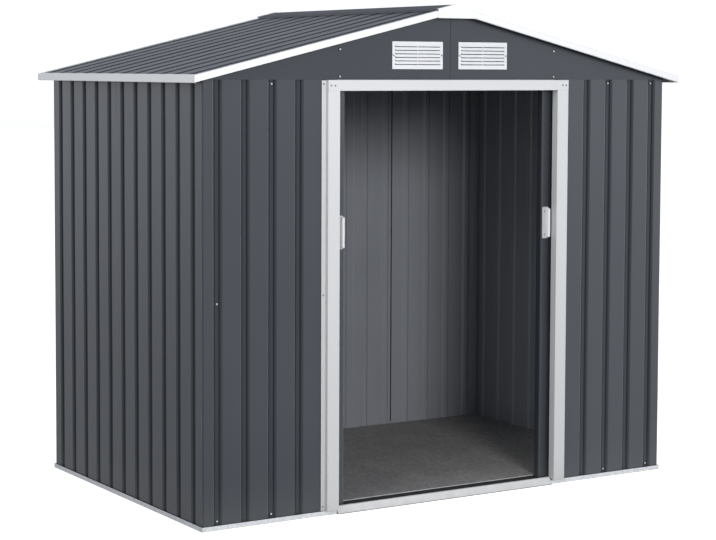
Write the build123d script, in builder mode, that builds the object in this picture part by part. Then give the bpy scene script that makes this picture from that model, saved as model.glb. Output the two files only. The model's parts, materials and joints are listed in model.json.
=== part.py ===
from build123d import *
import math
import os

os.makedirs("parts", exist_ok=True)

# Driving dimensions in millimetres. X runs left to right, Y from front to back, Z up from the ground.
base_width = 2042  # outside of the base rails
base_depth = 1270
wall_height = 1547  # ground to the seam between wall and gable
eave_height = 1562  # ground to the top of the eave trim
apex_height = 1813  # ground to the line where the two roof planes meet
side_overhang = 44  # roof past the base rails, at the eaves
end_overhang = 33.5  # roof past the base rails, at the gables
side_panel_width = 539.5  # end of the base rail to the doorway

# Sheet steel and its rolled ribs.
sheet_t = 1.0
fold_t = 1.5  # rails, posts, frames and trims
rib_depth = 8
rib_mouth = 38  # width of a groove at the outer face
rib_floor = 20  # width of a groove at its floor
bend_radius = 2.5
lap = 15  # how far one sheet tucks behind the next
edge_land = 40  # least distance from the edge of a sheet to the middle of a groove
front_pitch = 107  # groove to groove on the front, back and doors
front_first_groove = 58
side_pitch = 112
roof_pitch = 109
middle_groove_count = 7  # on the middle one of the three back sheets

# Base rails and floor.
wall_inset = 5  # wall face behind the outer face of the base rail
lip_height = 17
upstand_height = 25
track_height = 30  # rear edge of the door channel
floor_height = 29.5
floor_gap = 2
sill_reach = 9  # foot of the ramp in front of the base rail
sill_top_width = 10
sill_rise_width = 19
sill_gap = 2  # ramp to jamb, each end

# Door frame.
frame_face = 49.5
frame_flange = 15
frame_proud = 20  # frame face in front of the wall face
return_reach = 5  # frame return past the inner face of the wall
jamb_lip = 10
jamb_gap = 1  # jamb to the base rail and to the upper channel
header_height = 38
header_gap = 1  # header below the gable seam
header_tuck = 13  # header flange up behind the gable
wall_edge_cover = 18.5  # clear space between a frame return and the edge of the wall sheet

# Sliding doors.
door_overlap = 43.5  # a closed door past the side of the doorway
door_depth = 28
door_rise = 13  # top of a door above the foot of the header
door_land = 80  # least distance from the edge of a door to the middle of a groove
run_clearance = 5.5  # door to its channel, front and back
stop_gap = 5  # an open door to what stops it
left_short = 4.5  # how far each door stands short of fully open, as the photo shows it
right_short = 0
track_gap = 8  # channel in front of the doors, behind the wall sheet
track_flange = 25
track_lift = 6  # glide tip to the web of the upper channel
glide_height = 10
glide_length = 30
glide_width = 12
glide_inset = 60
stile_width = 25
handle_height = 1005
plate_width = 30
plate_height = 120
plate_t = 2
plate_corner = 5
handle_inset = 6  # edge of a door to its handle
grip_width = 14
grip_height = 112
grip_reach = 15
grip_corner = 4
grip_draft = 8  # degrees

# Structure inside.
post_leg = 25
rail_leg = 25
rail_gap = 2  # upstanding rail below the rails under the roof
beam_half_width = 30
beam_drop = 36

# Trims and ridge.
eave_trim_height = 26
rake_trim_height = 25
trim_lip = 13
trim_return = 12
ridge_half_width = 80
ridge_lift = 5
ridge_gap = 3
ridge_end_height = 25

# Gables and vents.
gable_lap = 12  # wall sheet up behind the gable
seam_cover = 5  # strip behind the gable seam, on the side it is fixed to
vent_width = 218.5
vent_height = 99
vent_gap = 70  # between the two vents of one gable
vent_sill = 38  # gable seam to the foot of a vent
vent_border = 10
vent_plate_t = 2
slot_count = 6
slot_pitch = 12.7
slot_height = 5
slot_inset = 2  # end of a slot to the edge of the hole in the gable
hood_reach = 5
hood_t = 1
mullion_width = 4

# Planes and slopes that the pieces share.
half_w = base_width / 2
half_d = base_depth / 2
panel_depth = rib_depth + sheet_t
wall_x = half_w - wall_inset
wall_y = half_d - wall_inset
inner_x = wall_x - panel_depth
inner_y = wall_y - panel_depth
upstand_x = inner_x - fold_t
upstand_y = inner_y - fold_t
roof_x = half_w + side_overhang
roof_y = half_d + end_overhang
sheet_end_y = roof_y - fold_t
slope = (apex_height - eave_height + fold_t) / roof_x
roof_angle = math.atan(slope)
half_opening = half_w - side_panel_width
frame_y = -wall_y - frame_proud
return_y = -inner_y + return_reach
frame_outer_x = half_opening + frame_face
header_top = wall_height - header_gap
header_bottom = header_top - header_height
lap_foot = wall_height + header_tuck

# The doors stand in a channel behind the front wall.
door_width = half_opening + door_overlap
track_front = -inner_y + track_gap
door_front = track_front + fold_t + run_clearance
door_back = door_front + door_depth
track_back = door_back + run_clearance + fold_t
door_bottom = lip_height
door_top = header_bottom + door_rise
track_web = door_top + glide_height + track_lift

# A door is fully open when its handle meets the jamb or its far edge meets the corner post.
handle_stop = half_opening - stop_gap - plate_width - handle_inset
post_stop = inner_x - post_leg - stop_gap - door_width
fully_open = min(handle_stop, post_stop)


def roof_top(x):
    """Height of the outer roof plane at a distance x from the middle."""
    return apex_height - abs(x) * slope


def roof_under(x, below=0.0):
    """Height of the underside of the roof sheets, less a thickness measured square to the slope."""
    return roof_top(x) - (panel_depth + below) / math.cos(roof_angle)


def save(piece, label):
    piece.part.label = label
    export_step(piece.part, f"parts/{label}.step")


def save_mirrored(piece, label):
    """The same piece for the right-hand side."""
    with BuildPart() as twin:
        add(piece.part)
        mirror(about=Plane.YZ, mode=Mode.REPLACE)
    save(twin, label)


def across(x):
    """Plane square to X with Y to its right and Z up."""
    return Plane.YZ.offset(x)


def along(y):
    """Plane square to Y, facing back, with X to its left and Z up."""
    return Plane(origin=(0, y, 0), x_dir=(-1, 0, 0), z_dir=(0, 1, 0))


def facing(y, x=0, z=0):
    """Plane square to Y, facing the front, with X to its right and Z up."""
    return Plane(origin=(x, y, z), x_dir=(1, 0, 0), z_dir=(0, -1, 0))


def standing(x, y, direction):
    """Plane at the foot of the wall sheets, its first axis along the wall."""
    return Plane(origin=(x, y, fold_t), x_dir=direction, z_dir=(0, 0, 1))


def bar(plane, outline, length):
    """A straight piece of one section, drawn on a plane and carried along its normal."""
    with BuildPart() as piece:
        with BuildSketch(plane):
            with BuildLine():
                Polyline(*outline, close=True)
            make_face()
        extrude(amount=length)
    return piece


def groove_centres(pitch, length, land=edge_land, first=None):
    """Middles of the grooves that fit on a sheet, centred on it unless the first one is given."""
    count = int((length - land - (land if first is None else first)) // pitch) + 1
    start = (length - (count - 1) * pitch) / 2 if first is None else first
    return [start + i * pitch for i in range(count)]


def sheet_outline(length, centres, fold_start, fold_end, tuck_end):
    """Section of a ribbed sheet: flat lands at zero, trapezoid grooves pressed inwards."""
    outer = [(0, 0)]
    for c in centres:
        outer += [(c - rib_mouth / 2, 0), (c - rib_floor / 2, -rib_depth)]
        outer += [(c + rib_floor / 2, -rib_depth), (c + rib_mouth / 2, 0)]
    outer.append((length, 0))
    inner = [(x, y - sheet_t) for x, y in outer]
    if fold_start:
        outer.insert(0, (0, -panel_depth))
        inner[0] = (sheet_t, -sheet_t)
        inner.insert(0, (sheet_t, -panel_depth))
    if fold_end:
        outer.append((length, -panel_depth))
        inner[-1] = (length - sheet_t, -sheet_t)
        inner.append((length - sheet_t, -panel_depth))
    if tuck_end:
        outer += [(length, -sheet_t), (length + lap, -sheet_t)]
        inner[-1] = (length - sheet_t, -sheet_t)
        inner += [(length - sheet_t, -2 * sheet_t), (length + lap, -2 * sheet_t)]
    return outer + inner[::-1]


def sheet(plane, length, centres, height, fold_start=False, fold_end=False, tuck_end=False):
    """A ribbed sheet whose grooves have rounded shoulders, as rolling leaves them."""
    first_bend = centres[0] - rib_mouth / 2 - sheet_t
    last_bend = centres[-1] + rib_mouth / 2 + sheet_t
    with BuildPart() as piece:
        with BuildSketch(plane) as section:
            with BuildLine():
                Polyline(*sheet_outline(length, centres, fold_start, fold_end, tuck_end), close=True)
            make_face()
            bends = section.vertices().filter_by_position(Axis.X, first_bend, last_bend)
            fillet(bends.filter_by_position(Axis.Y, -2 * sheet_t, sheet_t), radius=bend_radius)
        extrude(amount=height)
    return piece


def rail_outline(outside, inside):
    """Section of a plain base rail from its outer face to the back of its upstand."""
    t = fold_t if inside > outside else -fold_t
    return [
        (outside, 0), (inside, 0), (inside, upstand_height), (inside - t, upstand_height),
        (inside - t, fold_t), (outside + t, fold_t), (outside + t, lip_height), (outside, lip_height),
    ]


# Base rails: a lip outside the wall sheets, an upstand inside them, mitred at the corners.
with BuildPart() as base_rail_front:
    with BuildSketch(across(-half_w)):
        with BuildLine():
            Polyline(
                (-half_d, 0), (track_back, 0), (track_back, track_height),
                (track_back - fold_t, track_height), (track_back - fold_t, fold_t), (-upstand_y, fold_t),
                (-upstand_y, upstand_height), (-inner_y, upstand_height), (-inner_y, fold_t),
                (-half_d + fold_t, fold_t), (-half_d + fold_t, lip_height), (-half_d, lip_height), close=True,
            )
        make_face()
    extrude(amount=base_width)
    with BuildSketch():
        with BuildLine():
            Polyline(
                (-half_w, -half_d), (half_w, -half_d), (upstand_x, -upstand_y), (upstand_x, track_back),
                (-upstand_x, track_back), (-upstand_x, -upstand_y), close=True,
            )
        make_face()
    extrude(amount=track_height, mode=Mode.INTERSECT)
    with BuildSketch(Plane.XY.offset(fold_t)):
        with Locations((0, -half_d + fold_t / 2)):
            Rectangle(2 * half_opening, fold_t)
    extrude(amount=lip_height, mode=Mode.SUBTRACT)
save(base_rail_front, "base_rail_front")

with BuildPart() as base_rail_back:
    with BuildSketch(across(-half_w)):
        with BuildLine():
            Polyline(*rail_outline(half_d, upstand_y), close=True)
        make_face()
    extrude(amount=base_width)
    with BuildSketch():
        with BuildLine():
            Polyline(
                (-half_w, half_d), (half_w, half_d), (upstand_x, upstand_y), (-upstand_x, upstand_y),
                close=True,
            )
        make_face()
    extrude(amount=upstand_height, mode=Mode.INTERSECT)
save(base_rail_back, "base_rail_back")

with BuildPart() as base_rail_left:
    with BuildSketch(along(-half_d)):
        with BuildLine():
            Polyline(*rail_outline(half_w, upstand_x), close=True)
        make_face()
    extrude(amount=base_depth)
    with BuildSketch():
        with BuildLine():
            Polyline(
                (-half_w, -half_d), (-upstand_x, -upstand_y), (-upstand_x, upstand_y), (-half_w, half_d),
                close=True,
            )
        make_face()
    extrude(amount=upstand_height, mode=Mode.INTERSECT)
save(base_rail_left, "base_rail_left")
save_mirrored(base_rail_left, "base_rail_right")

# Floor deck between the upstands, behind the door channel.
with BuildPart() as floor_deck:
    with BuildSketch():
        with Locations((0, (track_back + upstand_y) / 2)):
            Rectangle(2 * (upstand_x - floor_gap), upstand_y - track_back - 2 * floor_gap)
    extrude(amount=floor_height)
save(floor_deck, "floor_deck")

# Front wall sheets, folded back at the corner and covered by the door frame at the other edge.
front_sheet_width = wall_x - half_opening - wall_edge_cover
end_sheet_height = wall_height + gable_lap - fold_t
front_wall_right = sheet(
    standing(wall_x, -wall_y, (-1, 0, 0)),
    front_sheet_width,
    groove_centres(front_pitch, front_sheet_width, first=front_first_groove),
    end_sheet_height,
    fold_start=True,
)
save(front_wall_right, "front_wall_right")
save_mirrored(front_wall_right, "front_wall_left")

# Side walls: two sheets each, joined on a land past the middle.
side_length = 2 * inner_y
side_height = roof_under(wall_x) - fold_t
side_centres = groove_centres(side_pitch, side_length)
side_joint = side_centres[len(side_centres) // 2] + side_pitch / 2
left_wall_front = sheet(
    standing(-wall_x, -inner_y, (0, 1, 0)),
    side_joint,
    [c for c in side_centres if c < side_joint],
    side_height,
    tuck_end=True,
)
left_wall_rear = sheet(
    standing(-wall_x, -inner_y + side_joint, (0, 1, 0)),
    side_length - side_joint,
    [c - side_joint for c in side_centres if c > side_joint],
    side_height,
)
save(left_wall_front, "left_wall_front")
save(left_wall_rear, "left_wall_rear")
save_mirrored(left_wall_front, "right_wall_front")
save_mirrored(left_wall_rear, "right_wall_rear")

# Back wall: three sheets, the outer two folded round the corners.
back_length = 2 * wall_x
back_centres = groove_centres(front_pitch, back_length)
first_joint = back_centres[(len(back_centres) - middle_groove_count) // 2] - front_pitch / 2
back_joints = [0, first_joint, first_joint + middle_groove_count * front_pitch, back_length]
for i, name in enumerate(("back_wall_left", "back_wall_middle", "back_wall_right")):
    start, end = back_joints[i], back_joints[i + 1]
    back_sheet = sheet(
        standing(-wall_x + start, wall_y, (1, 0, 0)),
        end - start,
        [c - start for c in back_centres if start < c < end],
        end_sheet_height,
        fold_start=i == 0,
        fold_end=i == 2,
        tuck_end=i < 2,
    )
    save(back_sheet, name)

# Corner posts: angles standing on the upstands, inside the corners.
for end, sign in (("front", -1), ("back", 1)):
    y = sign * inner_y
    corner_post = bar(
        Plane.XY.offset(upstand_height),
        [
            (-inner_x, y), (-inner_x + post_leg, y), (-inner_x + post_leg, y - sign * fold_t),
            (-upstand_x, y - sign * fold_t), (-upstand_x, y - sign * post_leg),
            (-inner_x, y - sign * post_leg),
        ],
        track_web - upstand_height,
    )
    save(corner_post, f"corner_post_{end}_left")
    save_mirrored(corner_post, f"corner_post_{end}_right")

# Upper channel: the doors run between its two flanges, and its front edge is turned up behind the wall.
turn_up = roof_under(inner_x, fold_t) - rail_gap
door_track_upper = bar(
    across(-upstand_x),
    [
        (-inner_y, track_web), (-upstand_y, track_web), (track_front, track_web),
        (track_front, track_web - track_flange), (track_front + fold_t, track_web - track_flange),
        (track_front + fold_t, track_web), (track_back - fold_t, track_web),
        (track_back - fold_t, track_web - track_flange), (track_back, track_web - track_flange),
        (track_back, track_web + fold_t), (-upstand_y, track_web + fold_t), (-upstand_y, turn_up),
        (-inner_y, turn_up),
    ],
    2 * upstand_x,
)
save(door_track_upper, "door_track_upper")

# Top rail across the back, and rails under the roof along the two sides.
top_rail_back = bar(
    across(-upstand_x),
    [
        (inner_y, track_web), (inner_y - rail_leg, track_web), (inner_y - rail_leg, track_web + fold_t),
        (upstand_y, track_web + fold_t), (upstand_y, turn_up), (inner_y, turn_up),
    ],
    2 * upstand_x,
)
save(top_rail_back, "top_rail_back")

rail_inner_x = inner_x - rail_leg
side_rail_bottom = track_web + fold_t
top_rail_left = bar(
    along(-inner_y),
    [
        (inner_x, side_rail_bottom), (upstand_x, side_rail_bottom),
        (upstand_x, roof_under(upstand_x, fold_t)), (rail_inner_x, roof_under(rail_inner_x, fold_t)),
        (rail_inner_x, roof_under(rail_inner_x)), (inner_x, roof_under(inner_x)),
    ],
    2 * inner_y,
)
save(top_rail_left, "top_rail_left")
save_mirrored(top_rail_left, "top_rail_right")

# Gables: two flat sheets an end, with a flange folded in under the roof and a lapped seam in the middle.
vent_centre_x = (vent_gap + vent_width) / 2
vent_centre_z = wall_height + vent_sill + vent_height / 2
for end, sign in (("front", -1), ("back", 1)):
    face = sign * (wall_y + sheet_t)
    for side, x_sign in (("left", -1), ("right", 1)):
        corner_x = x_sign * wall_x
        with BuildPart() as gable:
            with BuildSketch(facing(face)):
                with BuildLine():
                    Polyline(
                        (0, wall_height), (corner_x, wall_height), (corner_x, roof_under(wall_x)),
                        (0, roof_under(0)), close=True,
                    )
                make_face()
                with Locations((x_sign * vent_centre_x, vent_centre_z)):
                    Rectangle(
                        vent_width - 2 * vent_border, (slot_count - 1) * slot_pitch + slot_height,
                        mode=Mode.SUBTRACT,
                    )
            extrude(amount=sign * sheet_t)
            with BuildSketch(facing(face)):
                with BuildLine():
                    Polyline(
                        (0, roof_under(0)), (corner_x, roof_under(wall_x)),
                        (corner_x, roof_under(wall_x, sheet_t)), (0, roof_under(0, sheet_t)), close=True,
                    )
                make_face()
            extrude(amount=sign * (panel_depth + sheet_t))
            if side == "right":
                with BuildSketch(facing(face - sign * sheet_t)):
                    with BuildLine():
                        Polyline(
                            (-lap, lap_foot), (seam_cover, lap_foot), (seam_cover, roof_under(lap, sheet_t)),
                            (-lap, roof_under(lap, sheet_t)), close=True,
                        )
                    make_face()
                extrude(amount=sign * sheet_t)
        save(gable, f"{end}_gable_{side}")

# Louvre vents: a border plate with hooded slots, one either side of each gable seam.
slot_width = vent_width - 2 * (vent_border + slot_inset)
for end, sign in (("front", -1), ("back", 1)):
    plate_y = sign * (wall_y + sheet_t)
    skin = plate_y + sign * vent_plate_t
    for side, x_sign in (("left", -1), ("right", 1)):
        centre_x = x_sign * vent_centre_x
        with BuildPart() as vent:
            with BuildSketch(facing(plate_y, centre_x, vent_centre_z)):
                Rectangle(vent_width, vent_height)
                with GridLocations(0, slot_pitch, 1, slot_count):
                    Rectangle(slot_width, slot_height, mode=Mode.SUBTRACT)
                Rectangle(mullion_width, vent_height)
            extrude(amount=-sign * vent_plate_t)
            for i in range(slot_count):
                top = vent_centre_z + (i - (slot_count - 1) / 2) * slot_pitch + slot_height / 2
                lip_z = top - slot_height / 2
                with BuildSketch(across(centre_x - slot_width / 2)):
                    with BuildLine():
                        Polyline(
                            (skin, top), (skin, top + slot_height), (skin + sign * hood_reach, lip_z),
                            (skin + sign * (hood_reach - hood_t), lip_z), close=True,
                        )
                    make_face()
                extrude(amount=slot_width)
        save(vent, f"vent_{end}_{side}")

# Ridge beam: an inverted channel under the meeting line of the roof sheets.
beam_bottom = roof_under(beam_half_width) - beam_drop
beam_in = beam_half_width - fold_t
ridge_beam = bar(
    along(-inner_y),
    [
        (-beam_half_width, beam_bottom), (-beam_half_width, roof_under(beam_half_width)),
        (0, roof_under(0)), (beam_half_width, roof_under(beam_half_width)), (beam_half_width, beam_bottom),
        (beam_in, beam_bottom), (beam_in, roof_under(beam_in, fold_t)), (0, roof_under(0, fold_t)),
        (-beam_in, roof_under(beam_in, fold_t)), (-beam_in, beam_bottom),
    ],
    2 * inner_y,
)
save(ridge_beam, "ridge_beam")

# Roof: two ribbed sheets a side, joined on a land, the grooves running up the slope.
slope_length = (roof_x - fold_t - ridge_gap) / math.cos(roof_angle)
up_slope = (math.cos(roof_angle), 0, math.sin(roof_angle))
roof_length = 2 * sheet_end_y
roof_centres = groove_centres(roof_pitch, roof_length)
roof_joints = [0, roof_centres[len(roof_centres) // 2] - roof_pitch / 2, roof_length]
eave_point_x = -roof_x + fold_t
for i, name in enumerate(("front", "rear")):
    start, end = roof_joints[i], roof_joints[i + 1]
    eave_point = (eave_point_x, -sheet_end_y + start, roof_top(eave_point_x))
    roof_sheet = sheet(
        Plane(origin=eave_point, x_dir=(0, 1, 0), z_dir=up_slope),
        end - start,
        [c - start for c in roof_centres if start < c < end],
        slope_length,
        tuck_end=i == 0,
    )
    save(roof_sheet, f"roof_left_{name}")
    save_mirrored(roof_sheet, f"roof_right_{name}")

# Eave trims: a folded fascia with a lip over the roof sheets and a return below.
lip_x = roof_x - trim_lip
skin_t = fold_t / math.cos(roof_angle)
eave_bottom = eave_height - eave_trim_height
eave_trim_left = bar(
    along(-sheet_end_y),
    [
        (roof_x, eave_bottom), (roof_x, roof_top(roof_x) + skin_t), (lip_x, roof_top(lip_x) + skin_t),
        (lip_x, roof_top(lip_x)), (roof_x - fold_t, roof_top(roof_x - fold_t)),
        (roof_x - fold_t, eave_bottom + fold_t), (roof_x - trim_return, eave_bottom + fold_t),
        (roof_x - trim_return, eave_bottom),
    ],
    2 * sheet_end_y,
)
save(eave_trim_left, "eave_trim_left")
save_mirrored(eave_trim_left, "eave_trim_right")


def slope_strip(x_from, x_to, top, thickness):
    """Outline of a strip along the roof slope: top is its height over the roof plane."""
    return [
        (x_from, roof_top(x_from) + top), (x_to, roof_top(x_to) + top),
        (x_to, roof_top(x_to) + top - thickness), (x_from, roof_top(x_from) + top - thickness),
    ]


# Rake trims: a fascia up each gable edge, with a lip on the roof and a return below.
return_top = skin_t - rake_trim_height + fold_t
rake_strips = [
    (slope_strip(-roof_x, -ridge_half_width, skin_t, rake_trim_height), fold_t),
    (slope_strip(-lip_x, -ridge_half_width, skin_t, skin_t), trim_lip),
    (slope_strip(-roof_x + trim_return, -ridge_half_width, return_top, fold_t), trim_return),
]
for end, sign in (("front", -1), ("back", 1)):
    with BuildPart() as rake_trim:
        for outline, depth in rake_strips:
            with BuildSketch(facing(sign * roof_y)):
                with BuildLine():
                    Polyline(*outline, close=True)
                make_face()
            extrude(amount=sign * depth)
    save(rake_trim, f"rake_trim_{end}_left")
    save_mirrored(rake_trim, f"rake_trim_{end}_right")

# Ridge cap: a shallow folded cap held off the sheets by the lips at its edges.
cap_low = ridge_lift / math.cos(roof_angle)
cap_high = (ridge_lift + fold_t) / math.cos(roof_angle)
cap_edge = ridge_half_width - fold_t
ridge_foot = roof_top(ridge_half_width)
ridge_cap = bar(
    along(-sheet_end_y),
    [
        (-ridge_half_width, ridge_foot), (-ridge_half_width, ridge_foot + cap_high),
        (0, roof_top(0) + cap_high), (ridge_half_width, ridge_foot + cap_high),
        (ridge_half_width, ridge_foot), (cap_edge, roof_top(cap_edge)),
        (cap_edge, roof_top(cap_edge) + cap_low), (0, roof_top(0) + cap_low),
        (-cap_edge, roof_top(cap_edge) + cap_low), (-cap_edge, roof_top(cap_edge)),
    ],
    2 * sheet_end_y,
)
save(ridge_cap, "ridge_cap")

# Ridge end caps: a five-sided plate over the meeting of the rake trims, with a hood over the ridge cap.
end_bottom = ridge_foot - ridge_end_height
hood_low = cap_high
hood_high = cap_high + skin_t
for end, sign in (("front", -1), ("back", 1)):
    with BuildPart() as ridge_end:
        with BuildSketch(facing(sign * (roof_y + fold_t))):
            with BuildLine():
                Polyline(
                    (-ridge_half_width, end_bottom), (-ridge_half_width, ridge_foot + hood_high),
                    (0, roof_top(0) + hood_high), (ridge_half_width, ridge_foot + hood_high),
                    (ridge_half_width, end_bottom), close=True,
                )
            make_face()
        extrude(amount=sign * fold_t)
        with BuildSketch(facing(sign * (roof_y + fold_t))):
            with BuildLine():
                Polyline(
                    (-ridge_half_width, ridge_foot + hood_low), (-ridge_half_width, ridge_foot + hood_high),
                    (0, roof_top(0) + hood_high), (ridge_half_width, ridge_foot + hood_high),
                    (ridge_half_width, ridge_foot + hood_low), (0, roof_top(0) + hood_low), close=True,
                )
            make_face()
        extrude(amount=sign * (trim_lip + fold_t))
    save(ridge_end, f"ridge_end_{end}")

# Door jambs: flange on the wall, step, face, return through the wall and a stiffening lip.
jamb_bottom = lip_height + jamb_gap
return_bottom = upstand_height + jamb_gap
with BuildPart() as door_jamb_left:
    with BuildSketch(Plane.XY.offset(jamb_bottom)):
        with BuildLine():
            Polyline(
                (-frame_outer_x - frame_flange, -wall_y), (-frame_outer_x - frame_flange, -wall_y - fold_t),
                (-frame_outer_x, -wall_y - fold_t), (-frame_outer_x, frame_y), (-half_opening, frame_y),
                (-half_opening, -inner_y), (-half_opening - fold_t, -inner_y),
                (-half_opening - fold_t, frame_y + fold_t), (-frame_outer_x + fold_t, frame_y + fold_t),
                (-frame_outer_x + fold_t, -wall_y), close=True,
            )
        make_face()
    extrude(amount=header_top - fold_t - jamb_bottom)
    with BuildSketch(Plane.XY.offset(return_bottom)):
        with BuildLine():
            Polyline(
                (-half_opening, -inner_y), (-half_opening, return_y), (-half_opening - jamb_lip, return_y),
                (-half_opening - jamb_lip, return_y - fold_t), (-half_opening - fold_t, return_y - fold_t),
                (-half_opening - fold_t, -inner_y), close=True,
            )
        make_face()
    extrude(amount=track_web - jamb_gap - return_bottom)
save(door_jamb_left, "door_jamb_left")
save_mirrored(door_jamb_left, "door_jamb_right")

# Header: its face laps over the jambs, and a flange goes up behind the gable between the wall sheets.
header_face = frame_y - fold_t
with BuildPart() as door_header:
    with BuildSketch(across(-frame_outer_x)):
        with BuildLine():
            Polyline(
                (header_face, header_bottom), (header_face, header_top), (-wall_y, header_top),
                (-wall_y, header_top - fold_t), (frame_y, header_top - fold_t), (frame_y, header_bottom),
                close=True,
            )
        make_face()
    extrude(amount=2 * frame_outer_x)
    with BuildSketch(across(-half_opening)):
        with Locations(((header_face + return_y) / 2, header_bottom + fold_t / 2)):
            Rectangle(return_y - header_face, fold_t)
        with Locations((-wall_y + fold_t / 2, (header_top - fold_t + lap_foot) / 2)):
            Rectangle(fold_t, lap_foot - header_top + fold_t)
    extrude(amount=2 * half_opening)
save(door_header, "door_header")

# Sill ramp between the jambs, resting on the ground and on the upstand of the front rail.
ramp_foot = -half_d - sill_reach
ramp_top = ramp_foot + sill_rise_width
door_sill = bar(
    across(-half_opening + sill_gap),
    [
        (ramp_foot, 0), (ramp_top, upstand_height + fold_t),
        (ramp_top + sill_top_width, upstand_height + fold_t), (ramp_top + sill_top_width, upstand_height),
        (ramp_top + fold_t, upstand_height), (ramp_foot + 2 * fold_t, 0),
    ],
    2 * (half_opening - sill_gap),
)
save(door_sill, "door_sill")


def door_parts(side, leading, outward):
    """One sliding door; leading is X at its inner edge and outward points away from the opening."""
    middle = leading + outward * door_width / 2
    height = door_top - door_bottom
    panel = sheet(
        Plane(
            origin=(middle + door_width / 2, door_front, door_bottom), x_dir=(-1, 0, 0), z_dir=(0, 0, 1)
        ),
        door_width,
        groove_centres(front_pitch, door_width, land=door_land),
        height,
        fold_start=True,
        fold_end=True,
    )
    save(panel, f"{side}_door_panel")

    frame_front = door_front + panel_depth
    frame_depth = door_back - frame_front
    frame_plane = facing(frame_front, middle, (door_bottom + door_top) / 2)
    inside_width = stile_width - fold_t
    with BuildPart() as frame:
        with BuildSketch(frame_plane):
            Rectangle(door_width, height)
            Rectangle(door_width - 2 * stile_width, height - 2 * stile_width, mode=Mode.SUBTRACT)
        extrude(amount=-frame_depth)
        with BuildSketch(frame_plane.offset(-fold_t)):
            Rectangle(door_width - 2 * fold_t, height - 2 * fold_t)
            Rectangle(door_width - 2 * inside_width, height - 2 * inside_width, mode=Mode.SUBTRACT)
        extrude(amount=-frame_depth, mode=Mode.SUBTRACT)
    save(frame, f"{side}_door_frame")

    with BuildPart() as glides:
        for foot in (door_top, door_bottom - glide_height):
            with BuildSketch(Plane.XY.offset(foot)):
                with Locations((middle, (frame_front + door_back) / 2)):
                    with GridLocations(door_width - 2 * glide_inset, 0, 2, 1):
                        Rectangle(glide_length, glide_width)
            extrude(amount=glide_height)
    save(glides, f"{side}_door_glides")

    plate_x = leading + outward * (handle_inset + plate_width / 2)
    grip_x = leading + outward * (handle_inset + plate_width - grip_width / 2)
    with BuildPart() as handle:
        with BuildSketch(facing(door_front, plate_x, handle_height)):
            RectangleRounded(plate_width, plate_height, plate_corner)
        extrude(amount=plate_t)
        with BuildSketch(facing(door_front - plate_t, grip_x, handle_height)):
            RectangleRounded(grip_width, grip_height, grip_corner)
        extrude(amount=grip_reach, taper=grip_draft)
    save(handle, f"{side}_door_handle")


door_parts("left", -(fully_open - left_short), -1)
door_parts("right", fully_open - right_short, 1)
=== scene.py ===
import json
import math
import bmesh
import bpy
import numpy as np
from mathutils import Matrix, Vector


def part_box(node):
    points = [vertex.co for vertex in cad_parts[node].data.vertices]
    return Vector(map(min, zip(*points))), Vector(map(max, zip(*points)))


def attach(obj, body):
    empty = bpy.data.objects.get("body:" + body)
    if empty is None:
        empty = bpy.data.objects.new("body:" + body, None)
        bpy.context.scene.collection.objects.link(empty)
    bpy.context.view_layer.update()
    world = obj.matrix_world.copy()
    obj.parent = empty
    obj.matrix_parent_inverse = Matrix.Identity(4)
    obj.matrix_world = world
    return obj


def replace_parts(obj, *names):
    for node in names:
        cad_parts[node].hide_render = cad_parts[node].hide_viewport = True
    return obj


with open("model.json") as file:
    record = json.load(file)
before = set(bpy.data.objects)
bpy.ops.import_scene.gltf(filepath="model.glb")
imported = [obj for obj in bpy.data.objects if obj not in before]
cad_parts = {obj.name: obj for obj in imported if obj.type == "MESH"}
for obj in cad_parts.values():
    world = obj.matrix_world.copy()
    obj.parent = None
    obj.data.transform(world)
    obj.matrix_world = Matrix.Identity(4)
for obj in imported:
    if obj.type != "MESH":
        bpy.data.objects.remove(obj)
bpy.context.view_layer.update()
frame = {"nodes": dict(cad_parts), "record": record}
print("frame loaded")

# Sizes of the sheet metal in metres. The grooves are a little narrower than in the solids, as in the photo.
steel = {
    "sheet": 0.001,
    "bend": 0.0042,  # radius of a rolled bend, on the outer face
    "fold": 0.0015,  # thickness of the folded trims
    "foldBend": 0.0024,
    "ribDepth": 0.008,
    "ribMouth": 0.034,
    "ribFloor": 0.017,
    "crease": 0.0030,  # half width of the painted shade and dirt in the corners of a groove
    "grooveFloorShade": 0.26,  # how much painted shade lies on the whole floor of a groove
    "lap": 0.015,
    "tuck": 0.002,  # the run over which a lapped edge steps down under the next sheet
    "wave": 0.0005,  # how far a thin sheet wanders from flat
    "frontPitch": 0.107,
    "sidePitch": 0.112,
    "roofPitch": 0.109,
    "slope": math.atan(0.23709),  # the roof's rise for each metre across
    "gridAcross": 0.025,  # spacing of the points on a sheet's flat runs
    "gridUp": 0.06,
    "trimGrid": 0.03,
    "sharpFrom": math.radians(38),  # folds tighter than this keep a crisp edge
}


class Link:  # a node's output that can be used in plain arithmetic
    def __init__(self, finish, socket):
        self.finish = finish
        self.socket = socket

    def __add__(self, other):
        return self.finish.math("ADD", self, other)

    def __sub__(self, other):
        return self.finish.math("SUBTRACT", self, other)

    def __mul__(self, other):
        return self.finish.math("MULTIPLY", self, other)

    def __truediv__(self, other):
        return self.finish.math("DIVIDE", self, other)

    def __pow__(self, other):
        return self.finish.math("POWER", self, other)

    def __rsub__(self, other):
        return self.finish.math("SUBTRACT", other, self)

    def __rtruediv__(self, other):
        return self.finish.math("DIVIDE", other, self)

    __radd__ = __add__
    __rmul__ = __mul__


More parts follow.
